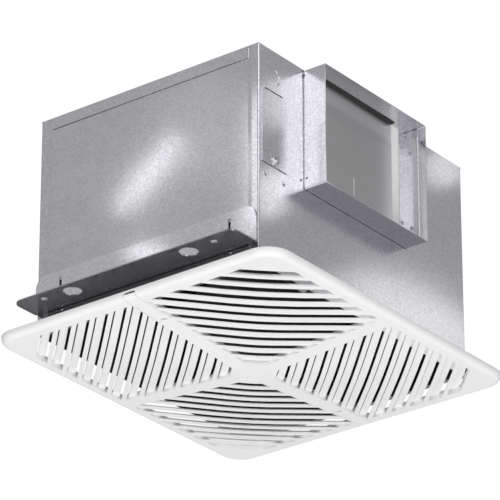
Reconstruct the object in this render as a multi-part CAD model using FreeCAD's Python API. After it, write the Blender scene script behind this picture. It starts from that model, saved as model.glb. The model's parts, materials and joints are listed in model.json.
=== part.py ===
import FreeCAD, Part
import math
import os

# Ceiling exhaust fan, in millimetres.
# Z = 0 is the ceiling plane, where the grille's rim meets the ceiling, and +Z points up.
# +X points out of the duct collar, -Y is the end with the wiring cover, the origin is the grille's centre.

Vec = FreeCAD.Vector
AXIS_X = Vec(1, 0, 0)
AXIS_Y = Vec(0, 1, 0)
AXIS_Z = Vec(0, 0, 1)

# Sheet metal housing
housing_width = 322.0
housing_depth = 398.6
housing_height = 275.5
sheet = 1.0
return_flange = 16.0
return_flange_taper = 6.0
top_flange_drop = 15.0
bottom_flange = 6.0
nut_ear_width = 30.0
corner_bend = 2.0

# Duct collar on the discharge side
collar_from_front = 82.0
collar_from_rear = 114.5
collar_height = 152.0
collar_reach = 31.0
collar_inside = 21.0
collar_bend = 2.0
collar_tab_depth = 12.0
collar_tab_trim = 8.0
collar_rivet_setback = 4.0
collar_rivet_rise = 35.0
collar_rivet_drop = 19.5
collar_seam_gap = 0.5
collar_seam_bend = 2.0
duct_screw_hole = 3.8
duct_screw_out = 4.0
duct_screw_rise = 12.5

# Damper
damper_plate = 1.0
damper_forward = 3.0
damper_side_margin = 29.8
damper_side_gap = 0.5
damper_top_gap = 1.3
damper_bottom_gap = 4.0
damper_rod_diameter = 2.5
damper_knuckle = 4.6
damper_rod_below_top = 6.1
damper_bead_rise = 25.5
damper_bead_length = 23.4
damper_bead_from_side = 61.1
damper_bead_radius = 0.8
damper_stop_height = 12.0
damper_stop_foot = 3.0
damper_stop_gap = 0.3
bush_flange_diameter = 6.4
bush_flange = 0.6
bush_collar = 1.2
top_seal_width = 5.5
top_seal_thickness = 1.0
side_seal_thickness = 1.5
side_seal_tail = 12.0
side_angle_flange = 14.3
side_angle_leg = 12.0
side_angle_lip = 17.0
seal_rivet_rise = 27.7
seal_rivet_drop = 24.0
seal_rivet_inset = 3.8

# Wiring compartment
cover_from_front = 26.3
cover_width = 46.0
cover_height = 92.5
cover_below_top = 54.3
cover_tab_width = 32.0
cover_tab_height = 7.0
cover_gap = 0.2
cover_tab_gap = 2.5
slit_below = 1.1
slit_above = 3.2
window_margin_side = 6.0
window_margin_bottom = 14.0
window_margin_top = 6.0
cover_screw_rise = 7.5
cover_screw_diameter = 4.8
cover_screw_length = 10.0
cover_washer_diameter = 12.0
cover_hex_flats = 8.0
knockout_diameter = 22.0
knockout_rise = 22.4
knockout_slot = 0.2
knockout_recess = 0.8
box_depth = 42.0
box_width = 60.3
box_below_cover = 22.7
box_below_top = 15.5
box_rivet_drop = 14.7
box_rivet_spread = 34.4
receptacle_size = 34.0
receptacle_depth = 24.0
receptacle_rise = 50.0

# Hanging brackets
bracket_inset = 1.0
bracket_shift = -2.0
bracket_sheet = 1.5
bracket_gap = 0.2
bracket_flange_reach = 43.0
bracket_flange_z = 25.2
bracket_leg_top = 72.2
bracket_leg_corner = 15.0
bracket_leg_notch_x = 39.0
bracket_leg_notch_radius = 1.3
bracket_flange_corner = 13.0
hanger_hole_diameter = 22.4
hanger_hole_x = 84.3
hanger_hole_out = 25.5
nail_hole_diameter = 8.0
nail_hole_x = 123.0
nail_hole_out = 29.4
keyhole_x = 123.0
keyhole_slot_width = 3.6
keyhole_slot_top = 63.7
keyhole_round_diameter = 11.0
keyhole_round_z = 47.0
bracket_screw_diameter = 3.0
bracket_screw_head_diameter = 4.8
bracket_screw_head = 0.9
panel_rivet_x = 122.3
panel_rivet_z = 23.0
panel_rivet_scale = 0.5

# Blower scroll and inlets
wheel_from_back = 136.0
wheel_above_floor = 16.5
scroll_turn = 270.0
scroll_start_radius = 98.0
inlet_throat_radius = 69.0
inlet_hole_radius = 75.0
inlet_flange_radius = 84.0
inlet_reach = 8.0

# Impeller wheel
blade_inner_radius = 74.0
blade_outer_radius = 88.0
blade_count = 40
blade_sweep_angle = 9.0
blade_mid_angle = 2.5
blade_thickness_angle = 0.7
wheel_side_gap = 12.0
wheel_rim_inner_radius = 80.0
wheel_rim_over = 1.0
wheel_rim_length = 4.0
wheel_disc = 2.0
hub_radius = 12.0
hub_length = 28.0
set_screw_diameter = 5.0

# Motor
shaft_diameter = 8.0
shaft_clearance = 0.05
motor_radius = 44.0
motor_wall = 1.5
motor_stand_off = 26.0
motor_length = 62.0
bell_thickness = 4.0
bell_boss_radius = 13.0
bell_boss_length = 6.0
bearing_radius = 8.0
bearing_length = 9.0
stator_bore_radius = 22.5
air_gap = 0.5
core_length = 40.0
coil_length = 7.0
coil_wall = 6.0

# Motor bracket
bracket_arm_width = 18.0
bracket_arm_sheet = 2.0
bracket_foot_radius = 93.0
bracket_foot_length = 14.0
bracket_arm_count = 3
bracket_ring_radius = 38.0
bracket_ring_overlap = 8.0
grommet_height = 3.0
grommet_radius = 6.0
motor_screw_diameter = 4.0

# Motor lead
lead_diameter = 7.0
lead_bend = 14.0
lead_floor = 18.0
lead_from_wall = 25.0
clip_sheet = 1.5
clip_width = 10.0
clip_pad_height = 20.0
clip_spacing = 140.0

# Grille
grille_overhang_x = 43.0
grille_overhang_y = 30.7
grille_corner = 30.0
rim_depth = 9.0
dome_rise = 14.4
dome_drop = 21.9
dome_norm = 5.0
dome_facets = 5
rim_round = 8.4
skin = 1.5
slot_count = 12
slot_pitch = 19.2
slot_width = 13.7
first_slot = 33.5
slat_width = 8.9
slat_recess = 3.9
slat_recess_step = 0.7
deep_slats = 4
slat_thickness = 1.8
band_half = 10.0
border_x = 16.0
border_y = 18.5
frame_wall = 2.0
frame_depth = 8.2
strip_width = 16.0
strip_inner_reach = 25.0
strip_below_rim = 4.4
strip_thickness = 1.4
strip_gap = 0.8
strip_seat_gap = 0.2
strip_pry_gap = 2.5
strip_pry_depth = 10.0
strip_notch_width = 7.0
strip_notch_depth = 2.8
strip_pad = 6.0
grille_screw_setback = 7.3
grille_screw_diameter = 4.2
grille_screw_head_diameter = 8.0
grille_screw_head = 3.0
grille_screw_tip = 9.0
grille_boss_diameter = 15.0
grille_boss_gap = 0.4

# Fits and small hardware
pin_gap = 0.02
screw_gap = 0.35
rivet_diameter = 3.2
rivet_head_diameter = 6.0
rivet_head = 1.5
rivet_hollow_diameter = 1.8
rivet_hollow_depth = 0.8

# Derived faces of the housing and the collar
face_x = housing_width / 2
face_y = housing_depth / 2
inner_x = face_x - sheet
panel_y = face_y - sheet
inner_y = panel_y - sheet
top_under = housing_height - sheet
collar_y_low = -inner_y + collar_from_front
collar_y_high = inner_y - collar_from_rear
collar_z_high = top_under
collar_z_low = collar_z_high - collar_height
collar_inner_low = collar_y_low + sheet
collar_inner_high = collar_y_high - sheet
collar_back = face_x - collar_inside
collar_front = face_x + collar_reach

# Derived planes of the scroll and the wheel
scroll_low = collar_inner_low
scroll_high = collar_inner_high
outlet_floor = collar_z_low + sheet
outlet_roof = collar_z_high - sheet
outlet_end = (collar_back + inner_x - sheet) / 2
wheel_x = -face_x + wheel_from_back
wheel_z = outlet_floor + wheel_above_floor
wheel_y_low = scroll_low + sheet + wheel_side_gap
wheel_y_high = scroll_high - sheet - wheel_side_gap
wheel_y = (wheel_y_low + wheel_y_high) / 2

# Derived places of the wiring compartment and the grille
cover_y_centre = -inner_y + cover_from_front
cover_z_pivot = top_under - cover_below_top
cover_z_low = cover_z_pivot - cover_height
box_y_high = -inner_y + box_width
box_z_low = cover_z_low - box_below_cover
box_z_high = top_under - box_below_top
lead_x = inner_x - lead_from_wall
grille_x = housing_width + 2 * grille_overhang_x
grille_y = housing_depth + 2 * grille_overhang_y
grille_screw_y = inner_y - grille_screw_setback


def block(x_low, x_high, y_low, y_high, z_low, z_high):
    return Part.makeBox(x_high - x_low, y_high - y_low, z_high - z_low, Vec(x_low, y_low, z_low))


def rod(radius, start, end):
    along = end - start
    return Part.makeCylinder(radius, along.Length, start, along)


def tube(outer, inner, start, end):
    return rod(outer, start, end).cut(rod(inner, start, end))


def prism(points, direction):
    corners = [Vec(*point) for point in points]
    return Part.Face(Part.makePolygon(corners + corners[:1])).extrude(direction)


def joined(shapes):
    return shapes[0].fuse(shapes[1:]).removeSplitter()


def round_edges(shape, radius, chosen):
    edges = [edge for edge in shape.Edges if chosen(edge)]
    return shape.makeFillet(radius, edges)


def runs_along(edge, axis):
    if not isinstance(edge.Curve, Part.Line):
        return False
    return abs(abs(edge.Curve.Direction.dot(axis)) - 1) < 1e-6


def rounded_block(x_half, y_half, z_low, z_high, radius):
    body = block(-x_half, x_half, -y_half, y_half, z_low, z_high)
    return round_edges(body, radius, lambda edge: runs_along(edge, AXIS_Z))


def hex_head(flats, height, base, direction):
    radius = flats / math.sqrt(3)
    side = AXIS_Z if abs(direction.z) < 0.5 else AXIS_X
    other = direction.cross(side)
    corners = []
    for corner in range(6):
        angle = math.radians(60 * corner)
        corners.append(base + side * (radius * math.cos(angle)) + other * (radius * math.sin(angle)))
    head = Part.Face(Part.makePolygon(corners + corners[:1])).extrude(direction * height)
    crown = Part.makeCone(flats * 0.58, flats * 0.42, height, base, direction)
    return head.common(crown)


def dome_head(radius, height, base, direction):
    ball_radius = (radius * radius + height * height) / (2 * height)
    ball = Part.makeSphere(ball_radius, base - direction * (ball_radius - height), direction)
    return ball.common(Part.makeCylinder(radius + 1, height, base, direction))


def rivet(base, direction, grip, scale=1.0):
    # A pop rivet: domed head with the hollow that its drawn mandrel leaves, shank and rolled tail
    height = rivet_head * scale
    radius = rivet_diameter * scale / 2
    head = dome_head(rivet_head_diameter * scale / 2, height, base, direction)
    shank = rod(radius, base, base - direction * grip)
    tail = Part.makeCylinder(radius * 1.4, height, base - direction * grip, -direction)
    hollow_end = base + direction * (height - rivet_hollow_depth * scale)
    hollow = Part.makeCylinder(rivet_hollow_diameter * scale / 2, height, hollow_end, direction)
    return joined([head, shank, tail]).cut(hollow)


def mirrored_y(shape):
    return shape.mirror(Vec(0, 0, 0), AXIS_Y)


def save(name, shape):
    if len(shape.Solids) == 1:
        shape = shape.Solids[0]
    shape.exportStep("parts/" + name + ".step")
    print(name, len(shape.Solids), "solids", round(shape.Volume / 1000, 2), "cm3", shape.isValid())


# Housing panels

def make_top_panel():
    plate = block(-face_x, face_x, -face_y, face_y, top_under, housing_height)
    flange_half = face_x - return_flange
    flange_low = housing_height - top_flange_drop
    flanges = [block(-flange_half, flange_half, -face_y, -panel_y, flange_low, top_under),
               block(-flange_half, flange_half, panel_y, face_y, flange_low, top_under)]
    return joined([plate] + flanges)


def side_panel():
    # A wall with a return flange at each end, whose lip tapers down to the end panel behind it
    wall = block(inner_x, face_x, -face_y, face_y, 0, top_under)
    lip = face_x - return_flange
    returns = []
    for side in (-1, 1):
        points = [(face_x, side * face_y, 0), (lip + return_flange_taper, side * face_y, 0),
                  (lip, side * panel_y, 0), (face_x, side * panel_y, 0)]
        returns.append(prism(points, AXIS_Z * top_under))
    body = joined([wall] + returns)

    def outer_bend(edge):
        middle = edge.CenterOfMass
        return (runs_along(edge, AXIS_Z) and middle.x > face_x - 1e-3
                and abs(middle.y) > face_y - 1e-3)

    return round_edges(body, corner_bend, outer_bend)


def make_back_panel():
    return side_panel().mirror(Vec(0, 0, 0), AXIS_X)


def cover_screw_point(x):
    return Vec(x, cover_y_centre, cover_z_low + cover_screw_rise)


def knockout_point(x):
    return Vec(x, cover_y_centre, cover_z_pivot + knockout_rise)


def box_rivet_points(x):
    z = cover_z_low - box_rivet_drop
    return [Vec(x, cover_y_centre - box_rivet_spread / 2, z),
            Vec(x, cover_y_centre + box_rivet_spread / 2, z)]


def collar_rivet_points(y):
    x = face_x - collar_rivet_setback
    return [Vec(x, y, collar_z_low + collar_rivet_rise), Vec(x, y, collar_z_high - collar_rivet_drop)]


def collar_seam_rounding(y, side):
    # What the bend of the panel's edge into its tab leaves open beside the collar
    middle = y + side * collar_seam_bend
    centre_x = face_x - collar_seam_bend
    z_low = collar_z_low - collar_seam_gap
    corner = block(centre_x, face_x + 1, min(y, middle), max(y, middle), z_low, collar_z_high)
    return corner.cut(rod(collar_seam_bend, Vec(centre_x, middle, z_low - 1),
                          Vec(centre_x, middle, collar_z_high + 1)))


def make_discharge_panel():
    body = side_panel()
    through = sheet + 2
    start = inner_x - 1
    tab_low = collar_z_low + collar_tab_trim
    tab_high = collar_z_high - 2 * collar_tab_trim
    tab_back = inner_x - collar_tab_depth
    tabs = [block(tab_back, inner_x, collar_y_low - sheet, collar_y_low, tab_low, tab_high),
            block(tab_back, inner_x, collar_y_high, collar_y_high + sheet, tab_low, tab_high)]
    body = body.fuse(tabs)
    half = cover_width / 2
    slit_half = cover_tab_width / 2 + 0.5
    cuts = [block(inner_x, face_x + 1, collar_y_low, collar_y_high,
                  collar_z_low - collar_seam_gap, collar_z_high),
            collar_seam_rounding(collar_y_low, -1), collar_seam_rounding(collar_y_high, 1),
            block(start, face_x + 1, cover_y_centre - half + window_margin_side,
                  cover_y_centre + half - window_margin_side,
                  cover_z_low + window_margin_bottom, cover_z_pivot - window_margin_top),
            block(start, face_x + 1, cover_y_centre - slit_half, cover_y_centre + slit_half,
                  cover_z_pivot - slit_below, cover_z_pivot + slit_above)]
    cuts.append(Part.makeCylinder(cover_screw_diameter / 2 + 2 * screw_gap, through,
                                  cover_screw_point(start), AXIS_X))
    cuts.append(Part.makeCylinder(knockout_diameter / 2 + knockout_slot, through,
                                  knockout_point(start), AXIS_X))
    for point in box_rivet_points(start):
        cuts.append(Part.makeCylinder(rivet_diameter / 2 + pin_gap, through, point, AXIS_X))
    for y in (collar_y_low - sheet - 1, collar_y_high - 1):
        for point in collar_rivet_points(y):
            cuts.append(Part.makeCylinder(rivet_diameter / 2 + pin_gap, through, point, AXIS_Y))
    return body.cut(cuts)


def make_end_panel():
    wall = block(-inner_x, inner_x, -panel_y, -inner_y, 0, top_under)
    flange = block(-inner_x, inner_x, -inner_y, -inner_y + bottom_flange, 0, sheet)
    ear_half = nut_ear_width / 2
    nut_ear = block(-ear_half, ear_half, -inner_y, -inner_y + 2 * grille_screw_setback, 0, sheet)
    body = joined([wall, flange, nut_ear])
    cuts = [rod(grille_screw_diameter / 2 + 2 * screw_gap, Vec(0, -grille_screw_y, -1),
                Vec(0, -grille_screw_y, sheet + 1))]
    for side in (-1, 1):
        rivet_radius = rivet_diameter * panel_rivet_scale / 2
        for out, z, radius in ((keyhole_x, bracket_screw_z(), bracket_screw_diameter / 2 + pin_gap),
                               (panel_rivet_x, panel_rivet_z, rivet_radius + pin_gap)):
            x = bracket_shift + side * out
            cuts.append(rod(radius, Vec(x, -panel_y - 1, z), Vec(x, -inner_y + 1, z)))
    return body.cut(cuts)


def end_panel_rivets():
    solids = []
    for side in (-1, 1):
        seat = Vec(bracket_shift + side * panel_rivet_x, -panel_y, panel_rivet_z)
        near = rivet(seat, -AXIS_Y, sheet, panel_rivet_scale)
        solids += [near, mirrored_y(near)]
    return Part.makeCompound(solids)


# Duct collar and damper

def duct_screw_point(y):
    return Vec(face_x + duct_screw_out, y, collar_z_low + duct_screw_rise)


def make_duct_collar():
    outer = block(collar_back, collar_front, collar_y_low, collar_y_high, collar_z_low, collar_z_high)
    outer = round_edges(outer, collar_bend, lambda edge: runs_along(edge, AXIS_X))
    inner = block(collar_back - 1, collar_front + 1, collar_inner_low, collar_inner_high,
                  outlet_floor, outlet_roof)
    inner = round_edges(inner, collar_bend - sheet, lambda edge: runs_along(edge, AXIS_X))
    cuts = [inner]
    for y in (collar_y_low, collar_inner_high):
        low, high = y - 1, y + sheet + 1
        cuts.append(rod(duct_screw_hole / 2, duct_screw_point(low), duct_screw_point(high)))
        cuts.append(rod(damper_bush_radius() + pin_gap, rod_point(low), rod_point(high)))
        for point in collar_rivet_points(low):
            cuts.append(Part.makeCylinder(rivet_diameter / 2 + pin_gap, sheet + 2, point, AXIS_Y))
    return outer.cut(cuts)


def collar_rivets():
    grip = 3 * sheet
    solids = [rivet(point, AXIS_Y, grip) for point in collar_rivet_points(collar_inner_low + sheet)]
    solids += [rivet(point, -AXIS_Y, grip) for point in collar_rivet_points(collar_inner_high - sheet)]
    return Part.makeCompound(solids)


def damper_face_x():
    return face_x + damper_forward


def damper_y_low():
    return collar_inner_low + damper_side_margin


def damper_y_high():
    return collar_inner_high - damper_side_margin


def rod_point(y):
    # The rod lies behind the flap, with the curl of the flap around it just inside the plate's back
    x = damper_face_x() - damper_plate - damper_knuckle / 2 + damper_plate / 5
    return Vec(x, y, outlet_roof - damper_rod_below_top)


def damper_bush_radius():
    return damper_rod_diameter / 2 + bush_collar


def make_damper_flap():
    y_low = damper_y_low()
    y_high = damper_y_high()
    face = damper_face_x()
    plate = block(face - damper_plate, face, y_low, y_high,
                  outlet_floor + damper_bottom_gap, outlet_roof - damper_top_gap)
    knuckle = rod(damper_knuckle / 2, rod_point(y_low), rod_point(y_high))
    bead_y = y_low + damper_bead_from_side
    bead_z = outlet_floor + damper_bead_rise
    bead = rod(damper_bead_radius, Vec(face, bead_y, bead_z),
               Vec(face, bead_y, bead_z + damper_bead_length))
    bore = rod(damper_rod_diameter / 2 + pin_gap, rod_point(y_low - 1), rod_point(y_high + 1))
    return joined([plate, knuckle, bead]).cut(bore)


def make_damper_rod():
    end_gap = sheet / 10
    return rod(damper_rod_diameter / 2, rod_point(collar_y_low + end_gap),
               rod_point(collar_y_high - end_gap))


def make_damper_bushes():
    solids = []
    end_gap = sheet / 10
    for inner, outward in ((collar_inner_low, -1), (collar_inner_high, 1)):
        face = rod_point(inner)
        out = AXIS_Y * outward
        body = rod(damper_bush_radius(), face, face + out * (sheet - end_gap))
        flange = rod(bush_flange_diameter / 2, face, face - out * bush_flange)
        bore = rod(damper_rod_diameter / 2 + shaft_clearance, face - out * 5, face + out * 5)
        solids.append(joined([body, flange]).cut(bore))
    return Part.makeCompound(solids)


def make_damper_stop():
    back = damper_face_x() - damper_plate - damper_stop_gap
    y_low = damper_y_low()
    y_high = damper_y_high()
    upright = block(back - sheet, back, y_low, y_high, outlet_floor, outlet_floor + damper_stop_height)
    foot = block(back - damper_stop_foot, back, y_low, y_high, outlet_floor, outlet_floor + sheet)
    return joined([upright, foot])


def make_damper_top_seal():
    front = damper_face_x()
    return block(front, front + top_seal_width, damper_y_low(), damper_y_high(),
                 outlet_roof - top_seal_thickness, outlet_roof)


def mirrored_in_collar(shape):
    return shape.mirror(Vec(0, (collar_y_low + collar_y_high) / 2, 0), AXIS_Y)


def side_angle_y():
    return collar_inner_high - side_angle_flange


def seal_rivet_points(x):
    y = side_angle_y() + seal_rivet_inset
    return [Vec(x, y, outlet_floor + seal_rivet_rise), Vec(x, y, outlet_roof - seal_rivet_drop)]


def make_side_angles():
    # A flange over the seal's edge beside the flap, and a leg along the collar's side wall
    face = damper_face_x()
    back = face - sheet
    bend = collar_bend - sheet
    foot_z = outlet_floor + bend
    head_z = outlet_roof - bend
    wall = collar_inner_high
    flange = block(back, face, side_angle_y(), wall, foot_z, outlet_roof)
    leg = block(face - side_angle_leg, face + side_angle_lip, wall - sheet, wall, foot_z, head_z)
    bush = rod_point(wall)
    screw = duct_screw_point(wall)
    cuts = [block(back - 1, face + 1, wall - bend, wall + 1, head_z, outlet_roof + 1),
            rod(bush_flange_diameter / 2 + damper_side_gap, bush - AXIS_Y * (bush_flange + damper_side_gap),
                bush + AXIS_Y),
            rod(duct_screw_hole / 2, screw - AXIS_Y * 1.5 * sheet, screw + AXIS_Y)]
    for point in seal_rivet_points(back - 1):
        cuts.append(Part.makeCylinder(rivet_diameter / 2 + pin_gap, sheet + 2, point, AXIS_X))
    for point in collar_rivet_points(wall - sheet - 1):
        cuts.append(Part.makeCylinder(rivet_diameter / 2 + pin_gap, sheet + 2, point, AXIS_Y))
    angle = joined([flange, leg]).cut(cuts)
    return Part.makeCompound([angle, mirrored_in_collar(angle)])


def make_side_seals():
    front = damper_face_x() - sheet
    back = front - side_seal_thickness
    seal = block(back, front, damper_y_high() + damper_side_gap, side_angle_y() + side_seal_tail,
                 outlet_floor, outlet_roof)
    cuts = [Part.makeCylinder(rivet_diameter / 2 + pin_gap, side_seal_thickness + 2, point, AXIS_X)
            for point in seal_rivet_points(back - 1)]
    cuts.append(rod(damper_rod_diameter / 2 + screw_gap, rod_point(damper_y_high()),
                    rod_point(collar_inner_high)))
    seal = seal.cut(cuts)
    return Part.makeCompound([seal, mirrored_in_collar(seal)])


def make_seal_rivets():
    grip = sheet + side_seal_thickness
    solids = [rivet(point, AXIS_X, grip) for point in seal_rivet_points(damper_face_x())]
    solids += [mirrored_in_collar(solid) for solid in solids]
    return Part.makeCompound(solids)


# Wiring compartment

def make_wiring_cover():
    outside = face_x + cover_gap
    half = cover_width / 2
    plate = block(outside, outside + sheet, cover_y_centre - half, cover_y_centre + half,
                  cover_z_low, cover_z_pivot - sheet)
    tab_low = cover_y_centre - cover_tab_width / 2
    tab_high = cover_y_centre + cover_tab_width / 2
    behind = inner_x - cover_tab_gap
    neck = block(outside, outside + sheet, tab_low, tab_high,
                 cover_z_pivot - sheet, cover_z_pivot + sheet / 2)
    step = block(behind - sheet, outside + sheet, tab_low, tab_high,
                 cover_z_pivot - sheet / 2, cover_z_pivot + sheet / 2)
    tab = block(behind - sheet, behind, tab_low, tab_high, cover_z_pivot - sheet / 2,
                cover_z_pivot + cover_tab_height)
    hole = rod(cover_screw_diameter / 2 + pin_gap, cover_screw_point(outside - 1),
               cover_screw_point(outside + 3))
    return joined([plate, neck, step, tab]).cut(hole)


def make_wiring_cover_screw():
    seat = cover_screw_point(face_x + cover_gap + sheet)
    washer = Part.makeCylinder(cover_washer_diameter / 2, sheet, seat, AXIS_X)
    head = hex_head(cover_hex_flats, cover_hex_flats / 2, seat + AXIS_X * sheet, AXIS_X)
    shank = rod(cover_screw_diameter / 2, seat, seat - AXIS_X * cover_screw_length)
    return joined([washer, head, shank])


def make_cable_knockout():
    return Part.makeCylinder(knockout_diameter / 2, sheet, knockout_point(inner_x - knockout_recess), AXIS_X)


def make_wiring_box():
    back = inner_x - box_depth
    flange_top = cover_z_low - sheet
    flange_low = cover_y_centre - cover_width / 2
    flange_high = cover_y_centre + cover_width / 2
    walls = [block(back, back + sheet, -inner_y, box_y_high, box_z_low, box_z_high),
             block(back, inner_x, box_y_high - sheet, box_y_high, box_z_low, box_z_high),
             block(back, inner_x, -inner_y, box_y_high, box_z_low, box_z_low + sheet),
             block(back, inner_x, -inner_y, box_y_high, box_z_high - sheet, box_z_high),
             block(inner_x - sheet, inner_x, flange_low, flange_high, box_z_low, flange_top)]
    cuts = [rod(rivet_diameter / 2 + pin_gap, point, point + AXIS_X * 5)
            for point in box_rivet_points(inner_x - 3)]
    lead_hole = lead_points()[-1]
    cuts.append(rod(lead_diameter / 2 + screw_gap, lead_hole - AXIS_Z * 20, lead_hole + AXIS_Z * 5))
    screw = ground_screw_point()
    cuts.append(rod(rivet_diameter / 2 + pin_gap, screw - AXIS_X * 5, screw + AXIS_X * 5))
    return joined(walls).cut(cuts)


def make_box_rivets():
    return Part.makeCompound([rivet(point, AXIS_X, 2 * sheet) for point in box_rivet_points(face_x)])


def make_receptacle():
    back = inner_x - box_depth + sheet
    half = receptacle_size / 2
    y = (-inner_y + box_y_high) / 2
    z = box_z_low + receptacle_rise
    body = block(back, back + receptacle_depth, y - half, y + half, z, z + receptacle_size)
    body = round_edges(body, 2.0, lambda edge: runs_along(edge, AXIS_X))
    cuts = []
    for blade in (-1, 1):
        middle = y + blade * receptacle_size * 0.18
        cuts.append(block(back + receptacle_depth / 3, back + receptacle_depth + 1, middle - 1, middle + 1,
                          z + receptacle_size * 0.5, z + receptacle_size * 0.75))
    ground = Vec(back + receptacle_depth / 3, y, z + receptacle_size * 0.28)
    cuts.append(rod(2.4, ground, ground + AXIS_X * receptacle_depth))
    return body.cut(cuts)


def ground_screw_point():
    return Vec(inner_x - box_depth + sheet, (-inner_y + box_y_high) / 2, box_z_high - box_depth)


def make_ground_screw():
    seat = ground_screw_point()
    head = hex_head(cover_hex_flats, cover_hex_flats / 2, seat, AXIS_X)
    shank = rod(rivet_diameter / 2, seat, seat - AXIS_X * 4 * sheet)
    return joined([head, shank])


# Hanging brackets

def bracket_screw_z():
    return keyhole_slot_top - keyhole_slot_width / 2


def make_mounting_bracket():
    back = -face_y - bracket_gap
    front = back - bracket_sheet
    left = bracket_shift - face_x + bracket_inset
    right = bracket_shift + face_x - bracket_inset
    leg = block(left, right, front, back, bracket_flange_z, bracket_leg_top)
    leg = round_edges(leg, bracket_leg_corner,
                      lambda edge: (runs_along(edge, AXIS_Y)
                                    and edge.CenterOfMass.z > bracket_leg_top - 1e-3))
    tip = -face_y - bracket_flange_reach
    flange = block(left, right, tip, back, bracket_flange_z, bracket_flange_z + bracket_sheet)
    flange = round_edges(flange, bracket_flange_corner,
                         lambda edge: runs_along(edge, AXIS_Z) and edge.CenterOfMass.y < tip + 1e-3)
    low = bracket_flange_z - 1
    high = bracket_flange_z + bracket_sheet + 1
    notch_x = bracket_shift + bracket_leg_notch_x
    cuts = [rod(bracket_leg_notch_radius, Vec(notch_x, front - 1, bracket_leg_top),
                Vec(notch_x, back + 1, bracket_leg_top))]
    for side in (-1, 1):
        for hole_x, out, diameter in ((hanger_hole_x, hanger_hole_out, hanger_hole_diameter),
                                      (nail_hole_x, nail_hole_out, nail_hole_diameter)):
            x = bracket_shift + side * hole_x
            y = -face_y - out
            cuts.append(rod(diameter / 2, Vec(x, y, low), Vec(x, y, high)))
        x = bracket_shift + side * keyhole_x
        width = keyhole_slot_width / 2
        cuts.append(rod(width, Vec(x, front - 1, bracket_screw_z()), Vec(x, back + 1, bracket_screw_z())))
        cuts.append(block(x - width, x + width, front - 1, back + 1, keyhole_round_z, bracket_screw_z()))
        cuts.append(rod(keyhole_round_diameter / 2, Vec(x, front - 1, keyhole_round_z),
                        Vec(x, back + 1, keyhole_round_z)))
    return joined([leg, flange]).cut(cuts)


def make_bracket_screws():
    solids = []
    for side in (-1, 1):
        x = bracket_shift + side * keyhole_x
        seat = Vec(x, -face_y - 2 * bracket_gap - bracket_sheet, bracket_screw_z())
        head = dome_head(bracket_screw_head_diameter / 2, bracket_screw_head, seat, -AXIS_Y)
        shank = rod(bracket_screw_diameter / 2, seat, seat + AXIS_Y * (bracket_sheet + 6 * sheet))
        screw = joined([head, shank])
        solids += [screw, mirrored_y(screw)]
    return Part.makeCompound(solids)


# Blower scroll

def scroll_angle_start():
    return -math.degrees(math.asin(wheel_above_floor / (scroll_start_radius + sheet)))


def spiral_curve(extra):
    end_radius = outlet_roof - sheet - wheel_z
    start = scroll_angle_start()
    turn = scroll_turn + start
    points = []
    steps = 24
    for step in range(steps + 1):
        part = step / steps
        radius = scroll_start_radius + (end_radius - scroll_start_radius) * part + extra
        angle = math.radians(start - turn * part)
        points.append(Vec(wheel_x + radius * math.cos(angle), 0, wheel_z + radius * math.sin(angle)))
    curve = Part.BSplineCurve()
    curve.interpolate(points)
    return curve.toShape(), points[0], points[-1]


def make_scroll_wrap():
    y_low = scroll_low + sheet
    width = scroll_high - scroll_low - 2 * sheet
    inner, inner_start, inner_end = spiral_curve(0)
    outer, outer_start, outer_end = spiral_curve(sheet)
    rim = Part.Wire(Part.__sortEdges__([inner, Part.makeLine(inner_end, outer_end), outer,
                                        Part.makeLine(outer_start, inner_start)]))
    spiral = Part.Face(rim).extrude(AXIS_Y * width)
    spiral.translate(AXIS_Y * y_low)
    roof = block(wheel_x, outlet_end, y_low, y_low + width, outlet_roof - sheet, outlet_roof)
    floor = block(inner_start.x, outlet_end, y_low, y_low + width, outlet_floor, outlet_floor + sheet)
    return joined([spiral, roof, floor])


def scroll_side():
    outer, start, end = spiral_curve(sheet)
    roof_corner = Vec(outlet_end, 0, outlet_roof)
    floor_corner = Vec(outlet_end, 0, outlet_floor)
    edges = [outer, Part.makeLine(end, roof_corner), Part.makeLine(roof_corner, floor_corner),
             Part.makeLine(floor_corner, start)]
    plate = Part.Face(Part.Wire(Part.__sortEdges__(edges))).extrude(AXIS_Y * sheet)
    centre = Vec(wheel_x, -1, wheel_z)
    return plate.cut(rod(inlet_hole_radius, centre, centre + AXIS_Y * (sheet + 2)))


def make_scroll_side_front():
    plate = scroll_side()
    plate.translate(AXIS_Y * scroll_low)
    return plate


def make_scroll_side_rear():
    plate = scroll_side()
    plate.translate(AXIS_Y * (scroll_high - sheet))
    cuts = []
    for angle in bracket_arm_angles():
        foot = polar(bracket_foot_radius, angle, scroll_high - 5)
        cuts.append(rod(motor_screw_diameter / 2 + pin_gap, foot, foot + AXIS_Y * 10))
    return plate.cut(cuts)


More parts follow.
